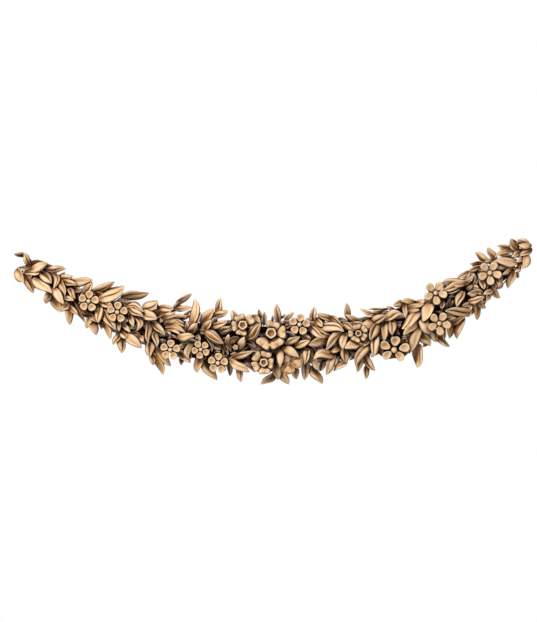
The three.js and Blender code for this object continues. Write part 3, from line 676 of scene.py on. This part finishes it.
def five_sided(turn):
    """Radius of a softened pentagon with one corner down, as a share of its corners' radius."""
    side = math.tau / CUP_CORNERS
    from_corner = (turn + math.pi / 2) % side - side / 2
    straight = math.cos(side / 2) / math.cos(from_corner)
    return lerp(1, straight, CUP_CORNER_SHARE)


def cup_at(x, z, width, depth):
    """A hollow cup with a thick rounded rim. Returns the depth of its hollow."""
    hollow = min(CUP_HOLLOW, CUP_HOLLOW_SHARE * width * SQUARE)
    rings = []
    for share, fall in CUP_RINGS:
        ring = []
        for i in range(CUP_SIDES):
            turn = -math.tau * i / CUP_SIDES
            radius = share * width / 2 * five_sided(turn)
            low = depth - fall * hollow
            ring.append(point(x + radius * math.cos(turn), z + radius * math.sin(turn), low))
        rings.append(ring)
    skin(point(x, z, ROOT_DEPTH), rings, point(x, z, depth - CUP_FLOOR * hollow))
    return hollow


def blossom(x, z, cup, petals):
    """Broad petals about a hollow cup."""
    depth = garland_depth(x, z)
    hollow = cup_at(x, z, cup, depth)
    petals_about(x, z, petals, depth - CUP_PETAL_SETBACK * hollow, "broad")


def seeded_head(x, z, width, depth, seeds):
    """A low dome set with small round seeds in spirals."""
    radius = width / 2
    rings = []
    for share, fall in HEAD_RINGS:
        low = depth - fall * HEAD_RISE * width * SQUARE
        rings.append(outline(x, z, share * radius, share * radius, 0, BUTTON_SIDES, low))
    skin(point(x, z, ROOT_DEPTH), rings, point(x, z, depth))
    seed = SEEDS_REACH * radius / math.sqrt(seeds)
    for i in range(seeds):
        out = math.sqrt((i + 0.5) / seeds)
        turn = i * math.tau * GOLDEN
        seed_x = x + out * SEEDS_REACH * radius * math.cos(turn)
        seed_z = z + out * SEEDS_REACH * radius * math.sin(turn)
        dome_fall = SEEDS_FALL * out ** SEEDS_FALL_POWER * HEAD_RISE * width
        top = depth - (dome_fall - SEED_RISE * seed) * SQUARE
        rings = []
        for share, fall in SEED_RINGS:
            size = share * seed
            rings.append(outline(seed_x, seed_z, size, size, 0, SEED_SIDES, top - fall * seed * SQUARE))
        skin(point(seed_x, seed_z, top - SEED_ROOT * seed * SQUARE), rings, point(seed_x, seed_z, top))


def shell_petal(x, z, length, width, angle, depth, ribs, dish=1.0):
    """A wide petal, dished and ribbed from its inner end outwards."""
    rings = []
    for share, fall in SHELL_RINGS:
        ribbed = ribs and SHELL_RIBBED[0] < share < SHELL_RIBBED[1]
        sunk = fall * (dish if share < SHELL_RIM else 1)
        ring = []
        for i in range(SHELL_SIDES):
            turn = -math.tau * i / SHELL_SIDES
            a = share * length / 2 * math.cos(turn)
            b = share * width / 2 * math.sin(turn) * (1 + PETAL_EGG * math.cos(turn))
            fan = math.atan2(b, a + SHELL_FAN * length)
            ripple = SHELL_RIPPLE * math.cos(ribs * fan) if ribbed else 0
            slope = (1 - math.cos(turn)) * share * SHELL_SLOPE * dish
            ring.append(point(
                x + a * math.cos(angle) - b * math.sin(angle),
                z + a * math.sin(angle) + b * math.cos(angle),
                depth - (sunk + ripple + slope) * width * SQUARE,
            ))
        rings.append(ring)
    skin(point(*root_of(x, z), ROOT_DEPTH), rings, point(x, z, depth - SHELL_DISH * dish * width * SQUARE))


def anemone():
    """The dished petals and the seeded head of the open blossom at the foot of the swag."""
    depth = garland_depth(ANEMONE_X, ANEMONE_Z)
    for x, z, length, width, degrees, share in ANEMONE_PETALS:
        shell_petal(x, z, length, width, math.radians(degrees), depth * share, ANEMONE_RIBS)
    seeded_head(ANEMONE_X, ANEMONE_Z, ANEMONE_HEAD, depth * ANEMONE_HEAD_SHARE, ANEMONE_SEEDS)


def dark_cup():
    """The dark hollow cup among the leaves, with the seeded bud on its lip."""
    x, z, width, share, dish = DARK_CUP
    shell_petal(x, z, width, width, CUP_TURN, garland_depth(x, z) * share, 0, dish)
    x, z, width, share, seeds = BUD
    seeded_head(x, z, width, garland_depth(x, z) * share, seeds)


def ground():
    """The low rounded ribbon along the hanging line, flat at the back."""
    rings = []
    for step in range(GROUND_STEPS + 1):
        x = HALF_SPAN * GROUND_REACH * (2 * step / GROUND_STEPS - 1)
        middle = hanging_line(x)
        half = half_height(x) * GROUND_HEIGHT_SHARE
        ring = [point(x, middle - half, 0)]
        for column in range(GROUND_COLUMNS + 1):
            across = 2 * column / GROUND_COLUMNS - 1
            z = middle + half * across
            crest = garland_depth(x, z) * GROUND_CREST_SHARE
            ring.append(point(x, z, lerp(crest, GROUND_EDGE, across ** 2)))
        ring.append(point(x, middle + half, 0))
        rings.append(ring)
    first = tuple(np.mean(np.array(rings[0]), axis=0))
    last = tuple(np.mean(np.array(rings[-1]), axis=0))
    skin(first, rings, last)


def filling():
    """Low small leaves over the whole ground, on evenly spread places."""
    for i in range(FILL_COUNT):
        x = HALF_SPAN * FILL_REACH * (2 * fraction(GOLDEN * (i + 1)) - 1)
        across = 2 * fraction(PLASTIC * (i + 1)) - 1
        spread = fraction(TRIBONACCI * (i + 1))
        outward = math.atan2(across * FILL_OUTWARD[1], math.copysign(FILL_OUTWARD[0], x))
        angle = outward + (spread - 0.5) * FILL_TURN
        length = lerp(*FILL_LENGTH, spread)
        width = lerp(*FILL_WIDTH, fraction(FILL_WIDTH_RATE * spread))
        share = lerp(*FILL_LAYER, fraction(FILL_LAYER_RATE * spread))
        half_x = math.cos(angle) * length / 2
        half_z = math.sin(angle) * length / 2
        below = half_height(x) * lerp(*FILL_LOWEST, abs(x / HALF_SPAN)) - abs(half_z)
        above = half_height(x) * FILL_HIGHEST - abs(half_z)
        off = across * half_height(x) * FILL_HEIGHT_SHARE
        z = hanging_line(x) + min(max(off, -below), above)
        row = (x - half_x, z - half_z, x + half_x, z + half_z, width)
        leaf(row, share, FILL_LOBES, FILL_STATIONS, i * GOLDEN * math.tau)


ground()
filling()
number = 0
for rows, layer, section, stations in (
    (FRONT_LEAVES, "front", LOBES, STATIONS),
    (RIBBED_LEAVES, "front", RIBS, STATIONS),
    (MIDDLE_LEAVES, "middle", LOBES, STATIONS),
    (UNDER_LEAVES, "under", LOBES, STATIONS),
    (SMALL_MIDDLE_LEAVES, "middle", SMALL_LOBES, SMALL_STATIONS),
    (SMALL_UNDER_LEAVES, "under", SMALL_LOBES, SMALL_STATIONS),
):
    for row in rows:
        number += 1
        leaf(row, LAYER_SHARE[layer], section, stations, number * GOLDEN * math.tau)
for kind, rows in (("dished", DISHED_FLOWERS), ("smooth", SMOOTH_FLOWERS)):
    for x, z, *petal_sizes, button in rows:
        flower(x, z, button, petals_around(x, z, *petal_sizes), kind)
flower(*LARGE_FLOWER, "dished")
for row in BLOSSOMS:
    blossom(*row)
for row in CLOSED_PETALS:
    leaf(row, LAYER_SHARE["front"], PILLOW, STATIONS, 0)
anemone()
dark_cup()


def mesh_of(name, points, faces):
    mesh = bpy.data.meshes.new(name)
    mesh.from_pydata(points, [], faces)
    mesh.update()
    return mesh


def united(parts):
    """All the shells joined into one closed skin."""
    others = bpy.data.collections.new("shells")
    for points, faces in parts[1:]:
        others.objects.link(bpy.data.objects.new("shell", mesh_of("shell", points, faces)))
    host = bpy.data.objects.new("host", mesh_of("host", *parts[0]))
    bpy.context.scene.collection.objects.link(host)
    union = host.modifiers.new("union", "BOOLEAN")
    union.operation = "UNION"
    union.operand_type = "COLLECTION"
    union.collection = others
    union.solver = "MANIFOLD"
    depsgraph = bpy.context.evaluated_depsgraph_get()
    result = bpy.data.meshes.new_from_object(host.evaluated_get(depsgraph))
    for obj in list(others.objects):
        bpy.data.meshes.remove(obj.data)
    bpy.data.collections.remove(others)
    bpy.data.meshes.remove(host.data)
    return result


def tidied(mesh):
    """The largest body of a mesh, in triangles, without pairs of triangles that lie back to back."""
    mesh.calc_loop_triangles()
    triangles = np.array([triangle.vertices[:] for triangle in mesh.loop_triangles])
    points = np.array([vertex.co[:] for vertex in mesh.vertices])
    corners = np.sort(triangles, axis=1)
    _, kind, uses = np.unique(corners, axis=0, return_inverse=True, return_counts=True)
    triangles = triangles[uses[kind.ravel()] == 1]
    body = np.arange(len(points))
    settled = False
    while not settled:
        lowest = body[triangles].min(axis=1)
        joined = body.copy()
        for corner in range(3):
            np.minimum.at(joined, triangles[:, corner], lowest)
        joined = joined[joined]
        settled = np.array_equal(joined, body)
        body = joined
    bodies, sizes = np.unique(body[triangles[:, 0]], return_counts=True)
    triangles = triangles[body[triangles[:, 0]] == bodies[sizes.argmax()]]
    used, index = np.unique(triangles, return_inverse=True)
    return mesh_of("carving", points[used].tolist(), index.reshape(-1, 3).tolist())


carving_mesh = tidied(united(shells))

# how high each point stands in the relief, as a share of the garland's depth there; the material paints
# shade on the low ones
rise = carving_mesh.attributes.new("rise", "FLOAT", "POINT")
for vertex, value in zip(carving_mesh.vertices, rise.data):
    x = vertex.co.x / SQUARE
    z = vertex.co.z / SQUARE
    value.value = min(-vertex.co.y / garland_depth(x, z), 1.0)

carving_mesh.shade_smooth()
carving_mesh.set_sharp_from_angle(angle=SHARP_ANGLE)
carving = bpy.data.objects.new("carved_swag", carving_mesh)
bpy.context.scene.collection.objects.link(carving)


class Nodes:
    """A short way to write a node tree."""

    def __init__(self, tree):
        self.tree = tree
        tree.nodes.clear()

    def put(self, socket, value):
        """Links an output to an input, or sets the input to a plain value."""
        if isinstance(value, bpy.types.NodeSocket):
            self.tree.links.new(value, socket)
        else:
            socket.default_value = value

    def add(self, kind, settings=None, **inputs):
        """A new node. Its inputs are named with underscores for spaces."""
        node = self.tree.nodes.new(kind)
        for name, value in (settings or {}).items():
            setattr(node, name, value)
        for name, value in inputs.items():
            self.put(node.inputs[name.replace("_", " ")], value)
        return node

    def maths(self, operation, *values):
        node = self.add("ShaderNodeMath", {"operation": operation})
        for socket, value in zip(node.inputs, values):
            self.put(socket, value)
        return node.outputs[0]

    def spread(self, value, low, high, start=0.0, end=1.0):
        """Runs from low to high while the value runs from start to end."""
        ends = {"From_Min": start, "From_Max": end, "To_Min": low, "To_Max": high}
        return self.add("ShaderNodeMapRange", Value=value, **ends).outputs[0]


# the wood's colours, and the colours of the painted shade from none to the darkest
DARK_WOOD = (0.44, 0.28, 0.144)
LIGHT_WOOD = (0.585, 0.386, 0.21)
# the paler colour of the crests: partly wear, partly a painted highlight
WORN_AND_HIGHLIT_WOOD = (0.68, 0.52, 0.37)
# painted shade colours, from none to near black
SHADE_COLOURS = (
    (0.0, (1.0, 1.0, 1.0)), (0.35, (0.62, 0.5, 0.38)), (0.65, (0.27, 0.17, 0.1)),
    (1.0, (0.03, 0.014, 0.006)),
)
GRAIN_STRETCH = (9.0, 130.0, 130.0)  # the grain runs along the swag
GRAIN_SCALE = 3.0
GRAIN_BUMP = 0.0006  # metres
CLOUD_SCALE = 38.0
STREAKS = 0.55
# how strongly the crests are paled: partly wear, partly a painted highlight
WEAR_AND_HIGHLIGHT = 0.45
NEAR_RECESS = 0.006  # metres to the nearest sides of a recess
WIDE_RECESS = 0.028
RECESS_SAMPLES = 12
ROUGHNESS = (0.4, 0.62)
SHINE = (0.22, 0.0)  # where it is bare, and under the darkest painted shade


def carved_wood():
    """Honey-tan wood with painted shade darkening its recesses, low places, steep sides and creases, and
    crests painted paler, partly as wear and partly as a painted highlight.
    """
    material = bpy.data.materials.new("carved_wood")
    material.use_nodes = True
    nodes = Nodes(material.node_tree)

    def ramp(value, stops):
        node = nodes.add("ShaderNodeValToRGB", Fac=value)
        while len(node.color_ramp.elements) < len(stops):
            node.color_ramp.elements.new(0.5)
        for element, (place, color) in zip(node.color_ramp.elements, stops):
            element.position = place
            element.color = (*color, 1.0)
        return node.outputs["Color"]

    def grey(*stops):
        return [(place, (level, level, level)) for place, level in stops]

    def mix(factor, a, b, blend="MIX"):
        node = nodes.add("ShaderNodeMix", {"data_type": "RGBA", "blend_type": blend})
        for socket, value in ((node.inputs[0], factor), (node.inputs[6], a), (node.inputs[7], b)):
            nodes.put(socket, value)
        return node.outputs[2]

    def recess(distance):
        node = nodes.add("ShaderNodeAmbientOcclusion", {"samples": RECESS_SAMPLES}, Distance=distance)
        return node.outputs["AO"]

    # the wood itself, with long streaks along the grain
    place = nodes.add("ShaderNodeTexCoord").outputs["Object"]
    along = nodes.add("ShaderNodeMapping", Vector=place, Scale=GRAIN_STRETCH).outputs[0]
    noise = nodes.add("ShaderNodeTexNoise", Vector=along, Scale=GRAIN_SCALE, Detail=6.0, Distortion=0.6)
    grain = noise.outputs["Fac"]
    clouds = nodes.add("ShaderNodeTexNoise", Vector=place, Scale=CLOUD_SCALE, Detail=3.0).outputs["Fac"]
    base = ramp(clouds, [(0.3, DARK_WOOD), (0.7, LIGHT_WOOD)])
    wood = mix(STREAKS, base, ramp(grain, grey((0.35, 0.8), (0.62, 1.0))), "MULTIPLY")

    # painted shade: the colour is darkened in narrow and wide recesses, on low places, on steep sides that
    # turn away from the front, and in creases
    rise_here = nodes.add("ShaderNodeAttribute", {"attribute_name": "rise"}).outputs["Fac"]
    normal = nodes.add("ShaderNodeTexCoord").outputs["Normal"]
    backwards = nodes.add("ShaderNodeSeparateXYZ", Vector=normal).outputs["Y"]
    edge = nodes.add("ShaderNodeNewGeometry").outputs["Pointiness"]
    # painted shade from ambient occlusion, height in the relief, facing and pointiness
    painted_shade = ramp(recess(NEAR_RECESS), grey((0.5, 1.0), (0.75, 0.6), (0.97, 0.0)))
    for value, stops in (
        (recess(WIDE_RECESS), grey((0.24, 1.0), (0.48, 0.7), (0.84, 0.0))),
        (rise_here, grey((0.39, 1.0), (0.54, 0.75), (0.71, 0.0))),
        (nodes.maths("ABSOLUTE", backwards), grey((0.32, 1.0), (0.6, 0.65), (0.9, 0.0))),
        (edge, grey((0.4, 0.7), (0.48, 0.0))),
    ):
        painted_shade = nodes.maths("MAXIMUM", painted_shade, ramp(value, stops))
    # hardly any painted shade is on the flat back
    painted_shade = nodes.maths("MULTIPLY", painted_shade, ramp(backwards, grey((0.3, 1.0), (0.8, 0.1))))

    # the painted shade multiplies the wood's colour
    color = mix(1.0, wood, ramp(painted_shade, SHADE_COLOURS), "MULTIPLY")
    # paler crests where the surface is convex: partly wear, partly a painted highlight
    wear_and_highlight = nodes.maths("MULTIPLY", ramp(edge, grey((0.51, 0.0), (0.58, 1.0))), WEAR_AND_HIGHLIGHT)
    color = mix(wear_and_highlight, color, (*WORN_AND_HIGHLIT_WOOD, 1.0))
    bump = nodes.add("ShaderNodeBump", Height=grain, Strength=0.25, Distance=GRAIN_BUMP).outputs[0]
    shader = nodes.add(
        "ShaderNodeBsdfPrincipled", Base_Color=color, Roughness=nodes.spread(grain, *ROUGHNESS),
        Specular_IOR_Level=nodes.spread(painted_shade, *SHINE), Normal=bump,
    )
    nodes.add("ShaderNodeOutputMaterial", Surface=shader.outputs[0])
    return material


carving_mesh.materials.append(carved_wood())
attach(carving, "root")
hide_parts("festoon_swag")

# the camera, straight in front, in metres unless it says squares
MILLIMETRES = 1000  # in a metre
SENSOR = 0.036
CAMERA_AWAY = 4.0
CAMERA_SEES = 50
PICTURE_HEIGHT_SQUARES = 622
PICTURE_MIDDLE_X = -4.5  # squares
PICTURE_MIDDLE_Z = 29.0  # squares
PICTURE_PLANE = 0.02  # how far in front of the back plane the picture's height is measured
camera_data = bpy.data.cameras.new("camera")
camera_data.sensor_fit = "AUTO"
camera_data.sensor_width = SENSOR * MILLIMETRES
seen_height = PICTURE_HEIGHT_SQUARES * SQUARE
camera_data.lens = SENSOR * MILLIMETRES * (CAMERA_AWAY - PICTURE_PLANE) / seen_height
camera_data.clip_end = CAMERA_SEES
camera = bpy.data.objects.new("camera", camera_data)
camera.location = (PICTURE_MIDDLE_X * SQUARE, -CAMERA_AWAY, PICTURE_MIDDLE_Z * SQUARE)
camera.rotation_euler = (math.radians(90), 0, 0)
bpy.context.scene.collection.objects.link(camera)
bpy.context.scene.camera = camera

# round lamps: name, place and width in metres, and power in watts
LAMPS = (
    ("key", (-1.5, -1.9, 2.2), 0.8, 171),
    ("fill", (1.6, -2.6, 0.6), 1.6, 8),
)
LAMP_AIM = (0, 0, 0.03)


def lamp(name, place, size, power):
    data = bpy.data.lights.new(name, "AREA")
    data.shape = "DISK"
    data.size = size
    data.energy = power
    obj = bpy.data.objects.new(name, data)
    obj.location = place
    direction = np.array(LAMP_AIM) - np.array(place)
    obj.rotation_euler = Vector(direction).to_track_quat("-Z", "Y").to_euler()
    bpy.context.scene.collection.objects.link(obj)


for row in LAMPS:
    lamp(*row)

# a pale studio, brighter straight behind the swag
SKY_STRENGTH = (0.5, 1.0)
SKY_BRIGHTENS = (0.8, 0.95)  # it does so where its direction's y is between these
world = bpy.data.worlds.new("studio")
world.use_nodes = True
sky = Nodes(world.node_tree)
direction = sky.add("ShaderNodeTexCoord").outputs["Generated"]
behind = sky.add("ShaderNodeSeparateXYZ", Vector=direction).outputs["Y"]
strength = sky.spread(behind, *SKY_STRENGTH, *SKY_BRIGHTENS)
white = sky.add("ShaderNodeBackground", Color=(1, 1, 1, 1), Strength=strength)
sky.add("ShaderNodeOutputWorld", Surface=white.outputs[0])
bpy.context.scene.world = world
bpy.context.scene.view_settings.view_transform = "Standard"

FLOOR_Z = -1.0
FLOOR_HALF = 3.0
FLOOR_COLOR = (0.85, 0.85, 0.85, 1)
FLOOR_ROUGHNESS = 0.8
floor_corners = [(x * FLOOR_HALF, y * FLOOR_HALF, FLOOR_Z) for x, y in ((-1, -1), (1, -1), (1, 1), (-1, 1))]
floor_mesh = mesh_of("floor", floor_corners, [(0, 1, 2, 3)])
floor = bpy.data.objects.new("floor", floor_mesh)
pale = bpy.data.materials.new("pale_floor")
pale.use_nodes = True
pale_shader = pale.node_tree.nodes["Principled BSDF"]
pale_shader.inputs["Base Color"].default_value = FLOOR_COLOR
pale_shader.inputs["Roughness"].default_value = FLOOR_ROUGHNESS
floor_mesh.materials.append(pale)
bpy.context.scene.collection.objects.link(floor)
